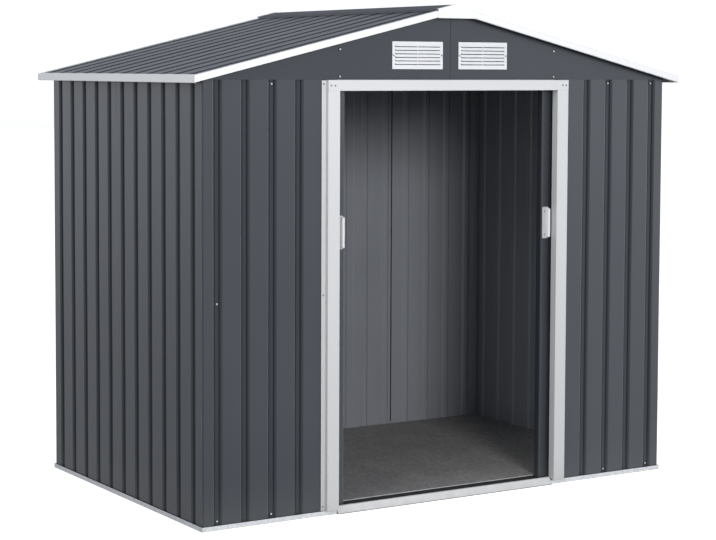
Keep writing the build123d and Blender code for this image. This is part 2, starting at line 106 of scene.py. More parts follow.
class Finish:  # one material, or the world, and the few calls that fill it
    def __init__(self, name, world=None):
        self.owner = world or bpy.data.materials.new(name)
        self.owner.use_nodes = True
        self.tree = self.owner.node_tree
        self.tree.nodes.clear()
        self.place = self.node("TexCoord", out="Generated" if world else "Object")

    def node(self, kind, settings=None, sockets=None, out=0):
        made = self.tree.nodes.new("ShaderNode" + kind)
        for key, value in (settings or {}).items():
            if key == "stops":
                ramp = made.color_ramp
                while len(ramp.elements) < len(value):
                    ramp.elements.new(0.5)
                for element, (position, tone) in zip(ramp.elements, value):
                    element.position = position
                    element.color = tone
            else:
                setattr(made, key, value)
        for key, value in (sockets or {}).items():
            if isinstance(value, Link):
                self.tree.links.new(value.socket, made.inputs[key])
            else:
                made.inputs[key].default_value = value
        return Link(self, made.outputs[out]) if made.outputs else None

    def math(self, operation, *values):
        return self.node("Math", {"operation": operation}, dict(enumerate(values)))

    def clamp(self, value):
        return self.node("Clamp", sockets={"Value": value})

    def mix(self, factor, first, second):
        return self.node("Mix", {"data_type": "RGBA"}, {0: factor, 6: first, 7: second}, out=2)

    def stretch(self, x, y, z):
        return self.node("Mapping", sockets={"Vector": self.place, "Scale": (x, y, z)})

    def noise(self, scale, detail=2.0, roughness=0.5, vector=None):
        sockets = {"Vector": vector or self.place, "Scale": scale, "Detail": detail, "Roughness": roughness}
        return self.node("TexNoise", sockets=sockets)

    def along(self, axis):  # 0 is x, 1 is y and 2 is z
        return self.node("SeparateXYZ", sockets={0: self.place}, out=axis)

    def height(self):
        return self.along(2)

    def bump(self, value, distance, strength, normal=None):
        sockets = {"Height": value, "Distance": distance, "Strength": strength}
        if normal is not None:
            sockets["Normal"] = normal
        return self.node("Bump", sockets=sockets)

    def shader(self, **sockets):
        named = {key.replace("_", " "): value for key, value in sockets.items()}
        surface = self.node("BsdfPrincipled", sockets=named)
        self.node("OutputMaterial", sockets={"Surface": surface})
        return self.owner


def colour(red, green, blue):
    return (red, green, blue, 1.0)


# Finishes. Each takes its colours, its gloss and the scales of its patterns from the dictionary above it.
anthracite = {
    "paint": colour(0.0165, 0.0200, 0.0255),
    "faded": colour(0.0225, 0.0265, 0.0325),
    "fadingScale": 1.7,
    "streakScale": 26.0,
    "dust": colour(0.11, 0.105, 0.095),
    "dustScale": 9.0,
    "dustHeight": 0.20,  # where the dust from the ground ends
    "dustCover": 0.30,
    "groove": colour(0.004, 0.004, 0.005),  # painted shade and dirt in the corners of the grooves
    "grooveShadeCover": 0.7,
    "tint": colour(0.90, 0.96, 1.0),
    "roughness": 0.36,
    "gloss": 0.35,  # specular level under the clear coat
    "coat": 0.85,
    "coatRoughness": 0.30,
    "peelScale": 420.0,
    "peelDepth": 0.00025,
    "dentScale": 5.0,
    "dentDepth": 0.004,
}
roofPaint = (colour(0.036, 0.041, 0.050), colour(0.046, 0.052, 0.062))
roofCoat = {"grain": (0.05, 1.0, 0.05), "gloss": 0.10, "coat": 0.13, "paints": roofPaint}
capCoat = {"grain": (1.0, 0.05, 1.0), "gloss": 0.02, "coat": 0.0, "paints": roofPaint}
# The gables take a duller coat than the walls, which darkens them: painted shade under the rake trims.
gableShadeCoat = {"coat": 0.55}


def anthraciteSteel(name, grain=(1.0, 1.0, 0.05), gloss=anthracite["gloss"], coat=anthracite["coat"],
                    paints=(anthracite["paint"], anthracite["faded"])):
    # Satin paint on thin sheet: slow fading, rain streaks, dust near the ground, orange peel, soft dents.
    # The piece's crease attribute darkens and dulls the groove corners and floors: painted shade, and some
    # dirt.
    f = Finish(name)
    fading = f.noise(anthracite["fadingScale"], 3.0)
    streaks = f.noise(anthracite["streakScale"], 3.0, vector=f.stretch(*grain))
    patches = f.noise(anthracite["dustScale"], 4.0)
    crease = f.node("Attribute", {"attribute_name": "crease"}, out="Fac")
    low = f.clamp(1 - f.height() / anthracite["dustHeight"])
    dusty = f.clamp((low ** 2.0) * (0.35 + patches * 0.7) * anthracite["dustCover"])
    tone = f.clamp((fading - 0.38) * 1.6 + (streaks - 0.5) * 0.5)
    # Painted shade and dirt in the grooves, from the crease attribute.
    paint = f.mix(crease * anthracite["grooveShadeCover"], f.mix(tone, *paints), anthracite["groove"])
    peel = f.bump(f.noise(anthracite["peelScale"]), anthracite["peelDepth"], 0.35)
    return f.shader(
        Base_Color=f.mix(dusty, paint, anthracite["dust"]),
        Roughness=f.clamp((streaks - 0.5) * 0.10 + dusty * 0.4 + crease * 0.3 + anthracite["roughness"]),
        Specular_IOR_Level=gloss,
        Specular_Tint=anthracite["tint"],
        Coat_Weight=f.clamp((1 - crease * 1.1) * (coat - dusty * 0.5)),
        Coat_Roughness=anthracite["coatRoughness"],
        Normal=f.bump(f.noise(anthracite["dentScale"], 1.0), anthracite["dentDepth"], 0.25, peel),
    )


lining = {
    "light": colour(0.225, 0.235, 0.255),
    "dark": colour(0.175, 0.184, 0.200),
    "roughness": 0.38,
    "cloudScale": 2.3,
    "streakScale": 22.0,
    "grainScale": 380.0,
}


def liningSteel(name):
    # The thin grey backing coat on the inner face of the sheets: cloudy, with faint streaks down the sheet.
    f = Finish(name)
    cloudy = f.noise(lining["cloudScale"], 3.0)
    streaks = f.noise(lining["streakScale"], 3.0, vector=f.stretch(1.0, 1.0, 0.06))
    tone = f.clamp((cloudy - 0.4) * 1.5 + (streaks - 0.5) * 0.6)
    return f.shader(
        Base_Color=f.mix(tone, lining["light"], lining["dark"]),
        Roughness=f.clamp((streaks - 0.5) * 0.1 + lining["roughness"]),
        Normal=f.bump(f.noise(lining["grainScale"]), 0.0002, 0.3),
    )


whiteCoat = {
    "grimeAndContactShadow": colour(0.24, 0.225, 0.20),
    "grimeScale": 30.0,
    "grimeHeight": 0.111,  # where the grime from the ground ends
    "contactShadowHeight": 0.004,  # painted contact shadow along the very edge on the ground
    "contactShadowSharpness": 400.0,
    "shadeEndHeight": 1.6,  # where the painted shade towards the ground ends
    "roughness": 0.34,
    "cloudScale": 3.0,
    "grainScale": 500.0,
}
# The foot tone is painted shade, taken towards the ground.
whiteTrim = {"paint": colour(0.70, 0.70, 0.695), "foot": colour(0.60, 0.60, 0.595)}
# The door frame's white is a darker copy of the trims' white: painted shade.
doorFrameShadedWhite = {"paint": colour(0.54, 0.54, 0.535), "foot": colour(0.44, 0.44, 0.435)}


def whiteSteel(name, tones):
    # Smooth white coating, darker towards the ground as painted shade, with a little grime low down.
    f = Finish(name)
    cloudy = f.noise(whiteCoat["cloudScale"], 3.0)
    low = f.clamp(1 - f.height() / whiteCoat["grimeHeight"])
    splashes = f.clamp((low ** 2.0) * f.noise(whiteCoat["grimeScale"], 4.0) * 0.5)
    # Painted contact shadow: the very foot takes the grime colour.
    edge = f.clamp((whiteCoat["contactShadowHeight"] - f.height()) * whiteCoat["contactShadowSharpness"])
    grimeAndContactShadow = f.clamp(splashes + edge)
    # Painted shade: the white darkens towards its foot tone lower down.
    lowShade = f.clamp(1 - f.height() / whiteCoat["shadeEndHeight"] + (cloudy - 0.5) * 0.25)
    return f.shader(
        Base_Color=f.mix(grimeAndContactShadow, f.mix(lowShade, tones["paint"], tones["foot"]), whiteCoat["grimeAndContactShadow"]),
        Roughness=f.clamp((cloudy - 0.5) * 0.12 + grimeAndContactShadow * 0.3 + whiteCoat["roughness"]),
        Normal=f.bump(f.noise(whiteCoat["grainScale"]), 0.0002, 0.3),
    )


zinc = {"light": colour(0.66, 0.665, 0.67), "dark": colour(0.48, 0.485, 0.49), "metal": 0.35}
channelZinc = zinc | {"metal": 0.3}
screwZinc = {"light": colour(0.58, 0.58, 0.59), "dark": colour(0.48, 0.48, 0.49), "metal": 0.2}
# Screws on the white frame, vents and handles are dark grey: painted shade where they sit in the white.
shadedFrameZinc = {"light": colour(0.24, 0.24, 0.25), "dark": colour(0.18, 0.18, 0.19), "metal": 0.2}
spangle = {"scale": 90.0, "cloudScale": 8.0}
# The painted shade in the door channel: where it begins behind the front lip and below the top, and how
# sharply.
channelShade = {"tone": colour(0.035, 0.034, 0.033), "front": (-0.6205, 500.0), "top": (0.0285, 900.0)}


def zincSteel(name, tones=zinc, recessShade=None):
    # Dull galvanised strip with spangle. The door channel is painted dark below its edges: painted shade.
    f = Finish(name)
    crystals = f.node("TexVoronoi", sockets={"Vector": f.place, "Scale": spangle["scale"]}, out="Color")
    grain = f.node("SeparateColor", sockets={0: crystals}, out=0)
    cloudy = f.noise(spangle["cloudScale"], 3.0)
    strip = f.mix(grain * 0.5 + cloudy * 0.4, tones["light"], tones["dark"])
    shine = grain * 0.12 + 0.42
    if recessShade:
        (front, frontEdge), (top, topEdge) = recessShade["front"], recessShade["top"]
        # Painted shade inside the door channel.
        inShade = f.clamp((f.along(1) - front) * frontEdge) * f.clamp((top - f.height()) * topEdge)
        strip = f.mix(inShade, strip, recessShade["tone"])
        shine = shine + inShade * 0.4
    normal = f.bump(grain, 0.0001, 0.3)
    return f.shader(Base_Color=strip, Roughness=shine, Normal=normal, Metallic=tones["metal"])


board = {
    "dark": colour(0.19, 0.186, 0.18),
    "light": colour(0.46, 0.45, 0.44),
    "clothScale": 120.0,
    "grainScale": 600.0,
    "scuffScale": 5.0,
    "relief": 0.0012,
    "roughness": 0.78,
}


def floorBoard(name):
    # Dark board with a coarse cloth-like grain and a few scuffs.
    f = Finish(name)
    cloth = f.noise(board["clothScale"], 4.0, 0.7, f.stretch(1.0, 0.45, 1.0))
    grains = f.noise(board["grainScale"])
    scuffs = f.noise(board["scuffScale"], 4.0, 0.6)
    tone = f.clamp((cloth - 0.4) * 1.8 + (grains - 0.5) * 0.7 + (scuffs - 0.5) * 0.5)
    return f.shader(
        Base_Color=f.mix(tone, board["dark"], board["light"]),
        Roughness=f.clamp(scuffs * 0.15 + board["roughness"]),
        Normal=f.bump(cloth * 0.6 + grains * 0.4, board["relief"], 0.6),
    )


moulding = {"body": colour(0.63, 0.635, 0.64), "shade": colour(0.56, 0.565, 0.57)}
handlePlate = {"body": colour(0.40, 0.405, 0.41), "shade": colour(0.34, 0.345, 0.35)}
plastic = {"cloudScale": 12.0, "grainScale": 700.0, "roughness": 0.42}


def whiteMoulding(name, tones=moulding):
    # Satin plastic, a little cloudy.
    f = Finish(name)
    cloudy = f.noise(plastic["cloudScale"], 3.0)
    return f.shader(
        Base_Color=f.mix(f.clamp((cloudy - 0.4) * 0.9), tones["body"], tones["shade"]),
        Roughness=f.clamp((cloudy - 0.5) * 0.1 + plastic["roughness"]),
        Normal=f.bump(f.noise(plastic["grainScale"]), 0.00015, 0.3),
    )


blackPlastic = {
    "dark": colour(0.012, 0.012, 0.013),
    "light": colour(0.030, 0.030, 0.031),
    "grainScale": 300.0,
    "roughness": 0.45,
}


def blackMoulding(name):
    f = Finish(name)
    grain = f.noise(blackPlastic["grainScale"], 3.0)
    return f.shader(
        Base_Color=f.mix(grain, blackPlastic["dark"], blackPlastic["light"]),
        Roughness=grain * 0.2 + blackPlastic["roughness"],
        Normal=f.bump(grain, 0.0002, 0.3),
    )


# One finish for each of the record's slots, then a few variants of them and the pieces that take one.
finishes = {
    "painted_steel_dark": anthraciteSteel("anthraciteWall"),
    "painted_steel_white": whiteSteel("whiteTrim", whiteTrim),
    "galvanised_steel": zincSteel("zincRail"),
    "floor_board": floorBoard("floorBoard"),
    "white_plastic": whiteMoulding("whiteMoulding"),
    "black_plastic": blackMoulding("blackMoulding"),
    "lining": liningSteel("liningSteel"),
    "roof": anthraciteSteel("anthraciteRoof", **roofCoat),
    "gable": anthraciteSteel("anthraciteGableShaded", **gableShadeCoat),
    "ridgeCap": anthraciteSteel("anthraciteCap", **capCoat),
    "handlePlate": whiteMoulding("handlePlate", handlePlate),
    "doorFrame": whiteSteel("doorFrameShadedWhite", doorFrameShadedWhite),
    "channel": zincSteel("channelZinc", channelZinc, channelShade),
    "screw": zincSteel("screwZinc", screwZinc),
    "frameScrew": zincSteel("frameScrewShadedZinc", shadedFrameZinc),
}
variantOf = {
    "door_jamb": "doorFrame",
    "door_header": "doorFrame",
    "base_rail_front": "channel",
    "ridge_cap": "ridgeCap",
    "roof_": "roof",
    "front_gable": "gable",
    "back_gable": "gable",
    "corner_post": "lining",
}
slotOf = {part["node"]: part["material_slot"] for part in frame["record"]["subparts"]}
bodyOf = {node: body for body, nodes in frame["record"]["behaviour"]["bodies"].items() for node in nodes}


def finishOf(node):
    variants = [finish for start, finish in variantOf.items() if node.startswith(start)]
    return variants[0] if variants else slotOf[node]


for node in slotOf:
    solid = frame["nodes"][node]
    solid.data.materials.clear()
    solid.data.materials.append(finishes[finishOf(node)])
print("finishes made")

up = (0, 0, 1)
right, back = np.array((1.0, 0, 0)), np.array((0, 1.0, 0))


def boxOf(node):
    # The two far corners of a solid, as arrays.
    return np.array(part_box(node))


def unit(vector):
    return vector / np.linalg.norm(vector)


def bentPath(corners, radius, steps=4):
    # A polyline whose corners are rounded: each corner gives way to an arc tangent to both its runs.
    # Along the arc a point is start + radius * (sin(turn) * in-run + (1 - cos(turn)) * side).
    corners = np.array(corners, float)
    points = [corners[:1]]
    headings = [unit(corners[1] - corners[0])[None]]
    for before, corner, after in zip(corners, corners[1:], corners[2:]):
        inRun = unit(corner - before)
        outRun = unit(after - corner)
        turn = math.acos(np.clip(inRun @ outRun, -1, 1))
        side = unit(outRun - inRun * (inRun @ outRun))
        start = corner - inRun * radius * math.tan(turn / 2)
        t = np.linspace(0, turn, steps + 1)[:, None]
        points.append(start + radius * (np.sin(t) * inRun + (1 - np.cos(t)) * side))
        headings.append(np.cos(t) * inRun + np.sin(t) * side)
    points.append(corners[-1:])
    headings.append(unit(corners[-1] - corners[-2])[None])
    return np.vstack(points), np.vstack(headings)


def spread(path, step, edge=0.001):
    # Divides the straight runs, with a point close to both ends, so that the shading stays flat on them.
    rows = []
    for a, b in zip(path, path[1:]):
        run = np.linalg.norm(b[:2] - a[:2])
        count = max(2, math.ceil(run / step))
        inner = np.linspace(edge / run, 1 - edge / run, count) if run > 4 * edge else []
        rows += [a] + [a + (b - a) * t for t in inner]
    return np.array(rows + [path[-1]])


def thickened(corners, thickness=steel["sheet"], radius=steel["bend"], step=steel["gridAcross"],
              inward=-1.0):
    # Ring of a folded section: the outer path, then the same path moved in by the thickness, backwards.
    path = spread(np.hstack(bentPath(corners, radius)), step)
    across = np.column_stack((-path[:, 3], path[:, 2])) * inward
    return np.vstack((path[:, :2], (path[:, :2] + across * thickness)[::-1]))


def pieceOf(mesh, finish, body):
    # Gives a mesh its finish, smooth shading with sharp folds, and the body that it rides on.
    mesh.materials.clear()
    mesh.materials.append(finishes[finish])
    mesh.shade_smooth()
    mesh.set_sharp_from_angle(angle=steel["sharpFrom"])
    piece = bpy.data.objects.new(mesh.name, mesh)
    bpy.context.scene.collection.objects.link(piece)
    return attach(piece, body)


def meshPiece(name, points, faces, finish, body):
    mesh = bpy.data.meshes.new(name)
    mesh.from_pydata(points.tolist(), [], faces.tolist() if isinstance(faces, np.ndarray) else faces)
    return pieceOf(mesh, finish, body)


def gridFaces(rows, ring):
    # Quads between the rows of a closed ring, as index arrays.
    i, j = np.meshgrid(np.arange(rows - 1), np.arange(ring), indexing="ij")
    k = (j + 1) % ring
    return np.stack((i * ring + j, (i + 1) * ring + j, (i + 1) * ring + k, i * ring + k), -1).reshape(-1, 4)


def capFaces(ring, first, flip):
    # Quads that close the end of a thickened section: outer point i faces inner point ring - 1 - i.
    i = np.arange(ring // 2 - 1)
    quads = np.stack((i, i + 1, ring - 2 - i, ring - 1 - i), -1) + first
    return quads[:, ::-1] if flip else quads


def waveOver(x, z, seed):
    # Three slow sine waves in random directions, between -1 and 1: how a thin sheet wanders from flat.
    random = np.random.default_rng(seed)
    drift = np.zeros(np.broadcast(x, z).shape)
    for size, share in ((0.9, 0.5), (0.45, 0.3), (0.2, 0.2)):
        turn, phase = random.uniform(0, math.tau, 2)
        drift += share * np.sin((x * math.cos(turn) + z * math.sin(turn)) * math.tau / size + phase)
    return drift


def foldedPoints(section, origin, axes, length, rows=2, starts=0.0, ends=0.0, wave=0.0, seed=1):
    # A section carried along a straight line; starts and ends shorten it point by point, as a mitre does.
    # Point = origin + x * first axis + (y + wave) * second axis + z * third axis.
    first, second, third = (np.array(axis, float) for axis in axes)
    x, y = section[None, :, 0], section[None, :, 1]
    t = np.linspace(0, 1, rows)[:, None]
    z = starts + (length - ends - starts) * t + x * 0
    y = y + wave * waveOver(x, z, seed)
    points = np.array(origin, float) + x[..., None] * first + y[..., None] * second + z[..., None] * third
    ring = section.shape[0]
    caps = (capFaces(ring, 0, False), capFaces(ring, (rows - 1) * ring, True))
    faces = np.vstack((gridFaces(rows, ring), *caps))
    if np.dot(np.cross(first, second), third) < 0:
        faces = faces[:, ::-1]
    return points.reshape(-1, 3), faces


def liningBehind(piece, rows, ring):
    # The inner half of a section's ring takes the grey backing coat.
    piece.data.materials.append(finishes["lining"])
    lined = np.zeros(len(piece.data.polygons), int)
    lined[: (rows - 1) * ring] = np.tile(np.arange(ring) >= ring // 2, rows - 1)
    piece.data.polygons.foreach_set("material_index", lined)


def ribCorners(length, middles, foldStart=False, foldEnd=False, tuckEnd=False):
    # Section of a ribbed sheet: flat lands at zero and trapezoid grooves pressed inwards.
    depth = steel["ribDepth"] + steel["sheet"]
    mouth, floor = steel["ribMouth"] / 2, steel["ribFloor"] / 2
    corners = [(0, -depth), (0, 0)] if foldStart else [(0, 0)]
    for middle in middles:
        for reach, drop in ((-mouth, 0), (-floor, 1), (floor, 1), (mouth, 0)):
            corners.append((middle + reach, -drop * steel["ribDepth"]))
    if foldEnd:
        corners += [(length, 0), (length, -depth)]
    elif tuckEnd:
        under = -steel["sheet"]
        corners += [(length - steel["tuck"], 0), (length, under), (length + steel["lap"], under)]
    else:
        corners.append((length, 0))
    return corners


def ribbedSheet(node, origin, axes, length, height, pitch, first, count, **edges):
    # Stands for one ribbed sheet of the solids; the first groove is measured from the start of the sheet.
    middles = first + np.arange(count) * pitch
    section = thickened(ribCorners(length, middles, **edges))
    ring = section.shape[0]
    rows = math.ceil(height / steel["gridUp"]) + 1
    seed = sum(map(ord, node))
    points, faces = foldedPoints(section, origin, axes, height, rows, wave=steel["wave"], seed=seed)
    piece = meshPiece(node + "Sheet", points, faces, finishOf(node), bodyOf[node])
    liningBehind(piece, rows, ring)
    # Painted shade and dirt in the two inner corners of each groove: a bell curve of the distance to them.
    corners = np.concatenate((middles - steel["ribFloor"] / 2, middles + steel["ribFloor"] / 2))
    near = np.exp(-(((section[:, :1] - corners) / steel["crease"]) ** 2)).sum(1)
    floors = np.abs(section[:, :1] - middles).min(1) <= steel["ribFloor"] / 2
    # A lighter painted shade covers the whole floor of each groove; the inner face gets none.
    near = np.maximum(near, floors * steel["grooveFloorShade"]) * (np.arange(ring) < ring // 2)
    crease = piece.data.attributes.new("crease", "FLOAT", "POINT")
    crease.data.foreach_set("value", np.tile(np.clip(near, 0, 1), rows))
    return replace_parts(piece, node)


# How far the first groove lies from the start of a sheet.
firstGroove = {
    "front": 0.058,
    "sideFront": 0.061,
    "sideRear": 0.056,
    "back": 0.053,
    "backNext": 0.0535,
    "door": 0.102,
    "roofFront": 0.0675,
    "roofRear": 0.0545,
}
# Sheets: node, way it runs, way it faces, groove spacing, first groove, number of grooves, edges.
uprightSheets = [
    ("front_wall_left", right, -back, "frontPitch", "front", 4, {"foldStart": True}),
    ("front_wall_right", -right, -back, "frontPitch", "front", 4, {"foldStart": True}),
    ("left_wall_front", back, -right, "sidePitch", "sideFront", 6, {"tuckEnd": True}),
    ("left_wall_rear", back, -right, "sidePitch", "sideRear", 5, {}),
    ("right_wall_front", back, right, "sidePitch", "sideFront", 6, {"tuckEnd": True}),
    ("right_wall_rear", back, right, "sidePitch", "sideRear", 5, {}),
    ("back_wall_left", right, back, "frontPitch", "back", 6, {"foldStart": True, "tuckEnd": True}),
    ("back_wall_middle", right, back, "frontPitch", "backNext", 7, {"tuckEnd": True}),
    ("back_wall_right", right, back, "frontPitch", "backNext", 6, {"foldEnd": True}),
    ("left_door_panel", -right, -back, "frontPitch", "door", 4, {"foldStart": True, "foldEnd": True}),
    ("right_door_panel", -right, -back, "frontPitch", "door", 4, {"foldStart": True, "foldEnd": True}),
]
for node, run, face, pitch, first, count, edges in uprightSheets:
    low, high = boxOf(node)
    start = np.where(run - face > 0, low, high)  # the corner where the run begins, on the outer face
    start[2] = low[2]
    length = abs((high - low) @ run) - (steel["lap"] if "tuckEnd" in edges else 0)
    places = (steel[pitch], firstGroove[first], count)
    ribbedSheet(node, start, (run, face, up), length, high[2] - low[2], *places, **edges)
print("wall and door sheets made")

# Roof sheets run up the slope from the eave.
slope = steel["slope"]
fall = steel["ribDepth"] + steel["sheet"]
roofGrooves = 6
for side, sign in (("left", -1), ("right", 1)):
    climb = np.array((-sign * math.cos(slope), 0, math.sin(slope)))
    lift = np.array((sign * math.sin(slope), 0, math.cos(slope)))
    for part, first, edges in (("front", "roofFront", {"tuckEnd": True}), ("rear", "roofRear", {})):
        node = f"roof_{side}_{part}"
        low, high = boxOf(node)
        # The box is taller and wider than the sloped plane by what the sheet's own depth adds.
        length = (high[0] - low[0] - fall * math.sin(slope)) / math.cos(slope)
        eave = np.array((low[0] if sign < 0 else high[0], low[1], low[2] + fall * math.cos(slope)))
        width = high[1] - low[1] - (steel["lap"] if edges else 0)
        places = (steel["roofPitch"], firstGroove[first], roofGrooves)
        ribbedSheet(node, eave, (back, lift, climb), width, length, *places, **edges)
print("roof sheets made")


def foldedTrim(node, corners, origin, axes, length, inward=-1.0, depth=None, mitres=(0, 0)):
    # Stands for one folded trim of the solids: a strip with rounded bends, mitred where it meets the next.
    # A mitre shortens each point of the section by its depth, which is its distance from the outer face.
    section = thickened(corners, steel["fold"], steel["foldBend"], steel["trimGrid"], inward)
    depths = np.abs(section[:, 0]) if depth is None else depth(section)
    points, faces = foldedPoints(section, origin, axes, length, 2, depths * mitres[0], depths * mitres[1])
    piece = meshPiece(node + "Fold", points, faces, finishOf(node), bodyOf[node])
    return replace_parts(piece, node)


trim = {"lip": 0.013, "return": 0.012, "rake": 0.025}
slopeRise = math.tan(slope)
for side, sign in (("left", -1), ("right", 1)):
    # Eave trim: lip on the roof, fascia, return below.
    node = f"eave_trim_{side}"
    low, high = boxOf(node)
    tall = high[2] - low[2]
    corners = [(-trim["lip"], tall), (0, tall - trim["lip"] * slopeRise), (0, 0), (-trim["return"], 0)]
    outer = (sign * max(abs(low[0]), abs(high[0])), low[1], low[2])
    foldedTrim(node, corners, outer, (right * sign, up, back), high[1] - low[1], mitres=(1, 1))
    climb = (-sign * math.cos(slope), 0, math.sin(slope))
    for end, way in (("front", -1), ("back", 1)):
        # Rake trim: the same strip up the slope, its ends cut upright.
        node = f"rake_trim_{end}_{side}"
        low, high = boxOf(node)
        corners = [(-trim["lip"], trim["rake"]), (0, trim["rake"]), (0, 0), (-trim["return"], 0)]
        foot = (low[0] if sign < 0 else high[0], low[1] if way < 0 else high[1], low[2])
        run = (high[0] - low[0]) / math.cos(slope)
        foldedTrim(node, corners, foot, (back * way, up, climb), run, mitres=(1, 0))

# Ridge cap: a lip each side and a shallow fold along the middle. Its lips are glossier than the roof.
low, high = boxOf("ridge_cap")
edge, peak = high[0], high[2] - low[2]
shoulder = peak - edge * slopeRise
corners = [(-edge, 0), (-edge, shoulder), (0, peak), (edge, shoulder), (edge, 0)]
cap = foldedTrim("ridge_cap", corners, (0, low[1], low[2]), (right, up, back), high[1] - low[1])
cap.data.materials.append(finishes["painted_steel_dark"])
lean = np.zeros(len(cap.data.polygons) * 3)
cap.data.polygons.foreach_get("normal", lean)
upright = np.abs(lean[::3]) > 0.8  # faces that look sideways
cap.data.polygons.foreach_set("material_index", upright.astype(int))

# Door jambs: flange on the wall, step, face, return and lip.
jamb = {
    "flange": 0.015,
    "face": 0.0495,
    "lip": 0.010,
    "clearFrom": 0.009,  # what lies further behind the wall face is shorter, to clear the rails
    "clear": (0.008, 0.0085),  # by this much at the foot and at the top
}
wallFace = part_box("front_wall_left")[0][1]


def insideWall(section):
    # 1 for the points that lie behind the wall face, 0 for the others.
    return (section[:, 1] > wallFace + jamb["clearFrom"]).astype(float)


for side, sign in (("left", 1), ("right", -1)):
    node = f"door_jamb_{side}"
    low, high = boxOf(node)
    outer = -max(abs(low[0]), abs(high[0]))
    step = outer + jamb["flange"]
    opening = step + jamb["face"]
    onWall = wallFace - steel["fold"]
    corners = [
        (outer, onWall), (step, onWall), (step, low[1]), (opening, low[1]), (opening, high[1]),
        (opening - jamb["lip"], high[1]),
    ]
    axes = (right * sign, back, up)
    foldedTrim(node, corners, (0, 0, low[2]), axes, high[2] - low[2], 1.0, insideWall, jamb["clear"])
print("trims made")

# Thin pieces get a finer edge.
rounding = {"edge": 0.0007, "vent": 0.0004, "gable": 0.0003, "segments": 2, "from": math.radians(40)}


def roundedCopy(node, width, liningTowards=None):
    # A copy of the solid, its triangles merged to whole faces, with its edges rounded by a bevel.
    mesh = frame["nodes"][node].data.copy()
    mesh.name = node + "Rounded"
    shape = bmesh.new()
    shape.from_mesh(mesh)
    bmesh.ops.remove_doubles(shape, verts=shape.verts, dist=0.00001)
    bmesh.ops.dissolve_limit(shape, angle_limit=0.01, verts=shape.verts, edges=shape.edges)
    shape.to_mesh(mesh)
    shape.free()
    piece = pieceOf(mesh, finishOf(node), bodyOf[node])
    if liningTowards is not None:
        mesh.materials.append(finishes["lining"])
        normals = np.zeros(len(mesh.polygons) * 3)
        mesh.polygons.foreach_get("normal", normals)
        inner = normals.reshape(-1, 3) @ liningTowards > 0.5
        mesh.polygons.foreach_set("material_index", inner.astype(int))
    bevel = piece.modifiers.new("softEdges", "BEVEL")
    bevel.width = width
    bevel.segments = rounding["segments"]
    bevel.limit_method = "ANGLE"
    bevel.angle_limit = rounding["from"]
    bevel.harden_normals = True
    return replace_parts(piece, node)


# What is left of the solids keeps its shape, as a copy with rounded edges. The floor deck stays as it is.
remade = ("_trim_", "ridge_cap", "door_jamb", "_wall_", "roof_", "_panel", "_handle", "floor_deck")
for node in slotOf:
    if any(word in node for word in remade):
        continue
    if "_gable_" in node:
        roundedCopy(node, rounding["gable"], back if node.startswith("front") else -back)
    else:
        roundedCopy(node, rounding["vent"] if node.startswith("vent") else rounding["edge"])
print("solids rounded")

# Handles: a thin plate with two screws, and a grip that stands on its right half, the same on both doors.
handle = {
    "plate": (0.030, 0.120),
    "plateCorner": 0.005,
    "plateHeight": 0.0022,
    "plateRound": 0.0012,
    "grip": (0.014, 0.112),
    "gripCorner": 0.0045,
    "gripHeight": 0.0148,
    "gripRound": 0.004,
    "gripDraft": 0.0016,
    "gripSunk": 0.0002,  # how deep its foot lies in the plate
    "leastCorner": 0.0006,
    "screwInset": 0.010,
    "screwSpread": 0.044,
}


def roundedLoop(halfWidth, halfHeight, corner, steps=5):
    # Outline of a rounded rectangle: a quarter circle at each corner, turned by a quarter each time.
    t = np.linspace(0, math.pi / 2, steps)
    loops = []
    for quarter, (x, y) in enumerate(((1, 1), (-1, 1), (-1, -1), (1, -1))):
        angle = t + quarter * math.pi / 2
        across = x * (halfWidth - corner) + corner * np.cos(angle)
        rise = y * (halfHeight - corner) + corner * np.sin(angle)
        loops.append(np.column_stack((across, rise)))
    return np.vstack(loops)


def mouldedBlock(name, centre, part, profile, finish, body):
    # A rounded rectangle carried along an edge profile of (how far in, how far out): the same loop at every
    # step, shrunk by the first value and moved off the door by the second. Both ends are closed.
    size, corner = handle[part], handle[part + "Corner"]
    rows = []
    for inset, rise in profile:
        tight = max(corner - inset, handle["leastCorner"])
        loop = roundedLoop(size[0] / 2 - inset, size[1] / 2 - inset, tight)
        rows.append(centre + loop[:, :1] * right + loop[:, 1:] * np.array(up) - rise * back)
    ring = len(rows[0])
    faces = gridFaces(len(rows), ring).tolist()
    faces.append(list(range(ring - 1, -1, -1)))
    faces.append(list(range((len(rows) - 1) * ring, len(rows) * ring)))
    return meshPiece(name, np.vstack(rows), faces, finish, body)


def roundOver(height, radius, steps=4):
    # Edge profile: straight out, then a quarter circle inwards.
    t = np.linspace(0, math.pi / 2, steps + 1)
    return [(0, 0)] + [(radius * (1 - math.cos(a)), height - radius * (1 - math.sin(a))) for a in t]


handleScrews = {}
for side in ("left", "right"):
    low, high = boxOf(f"{side}_door_handle")
    body = f"{side}_door"
    plateX, face, middleZ = (low[0] + high[0]) / 2, high[1], (low[2] + high[2]) / 2
    centre = np.array((plateX, face, middleZ))
    profile = roundOver(handle["plateHeight"], handle["plateRound"])
    plate = mouldedBlock(f"{side}_door_handlePlate", centre, "plate", profile, "handlePlate", body)
    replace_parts(plate, f"{side}_door_handle")
    gripX = plateX + (handle["plate"][0] - handle["grip"][0]) / 2
    centre = np.array((gripX, face - handle["plateHeight"] + handle["gripSunk"], middleZ))
    profile = [
        (inset + handle["gripDraft"] * min(rise / handle["gripHeight"], 1), rise)
        for inset, rise in roundOver(handle["gripHeight"], handle["gripRound"])
    ]
    mouldedBlock(f"{side}_door_grip", centre, "grip", profile, "white_plastic", body)
    screwX = plateX - (handle["plate"][0] / 2 - handle["screwInset"])
    handleScrews[body] = [
        ((screwX, face - handle["plateHeight"], middleZ + rise), -back)
        for rise in (-handle["screwSpread"], handle["screwSpread"])
    ]
print("handles made")


